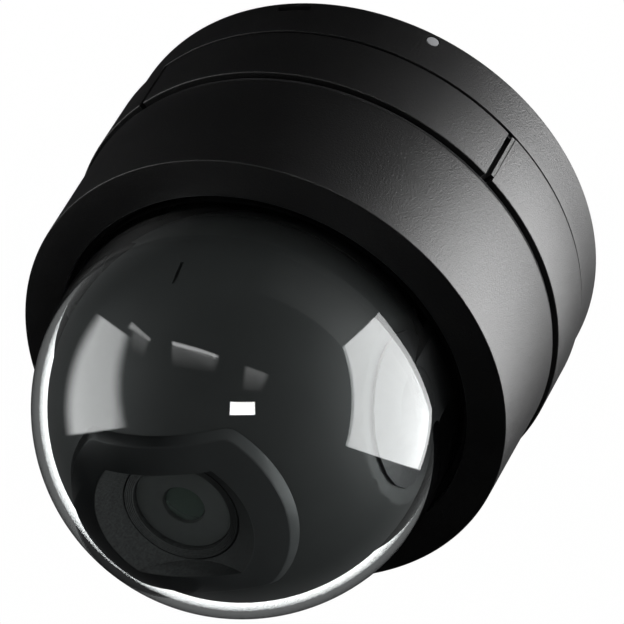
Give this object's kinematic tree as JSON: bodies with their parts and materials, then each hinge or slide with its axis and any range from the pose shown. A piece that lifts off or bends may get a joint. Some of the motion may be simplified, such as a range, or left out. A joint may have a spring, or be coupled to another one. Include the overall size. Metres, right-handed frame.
{
  "type": "dome cctv camera",
  "caption": "Compact round security camera: black twist-off housing under a clear dome, with a lens ball that pans, tilts and turns inside.",
  "frame": {"origin": "centre of the flat mounting face, where the camera meets the ceiling", "axes": "+Z out of the mounting face along the camera's axis, towards the top of the dome; -Y is the front, the way the lens tilts; on a ceiling the camera hangs with +Z down"},
  "size_m": [0.0947, 0.0947, 0.0991],
  "materials": {
    "black_paint": "satin black powder coat with a fine grain",
    "black_plastic": "moulded black, fine texture",
    "black_rubber": "matt black rubber",
    "clear_dome": "polished clear polycarbonate",
    "lens_glass": "coated optical glass",
    "steel": "plain bright steel",
    "alloy": "die-cast, as cast",
    "circuit_board": "green solder mask",
    "chip": "moulded chip package",
    "cable_film": "amber polyimide film"
  },
  "bodies": {
    "mount": {"mount_plate": "steel"},
    "housing": {"rear_housing": "black_paint", "side_panel": "black_paint", "seam_gasket": "black_rubber", "lock_screw": "steel", "cable_grommet": "black_rubber", "main_board": "circuit_board", "board_screw_1": "steel", "board_screw_2": "steel", "board_screw_3": "steel", "board_screw_4": "steel", "processor": "chip", "thermal_pad": "black_rubber", "heat_spreader": "alloy", "network_jack": "steel", "reset_switch": "chip", "chassis": "alloy", "chassis_screw_1": "steel", "chassis_screw_2": "steel", "chassis_screw_3": "steel", "pan_retainer": "steel", "pan_screw_1": "steel", "pan_screw_2": "steel"},
    "reset": {"reset_button": "black_plastic"},
    "cover": {"front_cover": "black_paint", "dome_window": "clear_dome", "dome_seal": "black_rubber", "dome_clamp_ring": "steel", "clamp_screw_1": "steel", "clamp_screw_2": "steel", "clamp_screw_3": "steel"},
    "turntable": {"turntable": "black_plastic", "yoke_arm_left": "black_plastic", "yoke_arm_right": "black_plastic", "tilt_pin_left": "steel", "tilt_pin_right": "steel", "foot_screw_1": "steel", "foot_screw_2": "steel", "pin_clip_left": "steel", "pin_clip_right": "steel"},
    "ball": {"ball_front_shell": "black_plastic", "ball_rear_shell": "black_plastic", "tilt_bush_left": "black_plastic", "tilt_bush_right": "black_plastic"},
    "lens_head": {"lens_hood": "black_plastic", "lens_window": "lens_glass", "lens_bezel": "black_plastic", "roll_retainer": "steel", "head_screw_1": "steel", "head_screw_2": "steel", "lens_barrel": "black_plastic", "front_element": "lens_glass", "lens_holder": "black_plastic", "sensor_board": "circuit_board", "image_sensor": "chip", "sensor_screw_left": "steel", "sensor_screw_right": "steel", "sensor_cable": "cable_film"},
    "filter": {"filter_frame": "black_plastic", "filter_glass": "lens_glass"}
  },
  "joints": [
    {"name": "mount_twist", "type": "hinge", "parent": "mount", "child": "housing", "pos_m": [0, 0, 0], "axis": [0, 0, 1], "range_deg": [0, 16]},
    {"name": "cover_twist", "type": "hinge", "parent": "housing", "child": "cover", "pos_m": [0, 0, 0], "axis": [0, 0, 1], "range_deg": [0, 16]},
    {"name": "pan", "type": "hinge", "parent": "housing", "child": "turntable", "pos_m": [0, 0, 0.0318], "axis": [0, 0, 1], "range_deg": [-175, 175]},
    {"name": "tilt", "type": "hinge", "parent": "turntable", "child": "ball", "pos_m": [0, 0, 0.06163], "axis": [1, 0, 0], "range_deg": [0, 75]},
    {"name": "lens_roll", "type": "hinge", "parent": "ball", "child": "lens_head", "pos_m": [0, 0, 0.06163], "axis": [0, 0, 1], "range_deg": [-95, 95]},
    {"name": "filter_slide", "type": "slide", "parent": "lens_head", "child": "filter", "axis": [1, 0, 0], "range_m": [0, 0.006]},
    {"name": "reset_press", "type": "slide", "parent": "housing", "child": "reset", "axis": [0.2588, 0.9659, 0], "range_m": [0, 0.0006]}
  ]
}
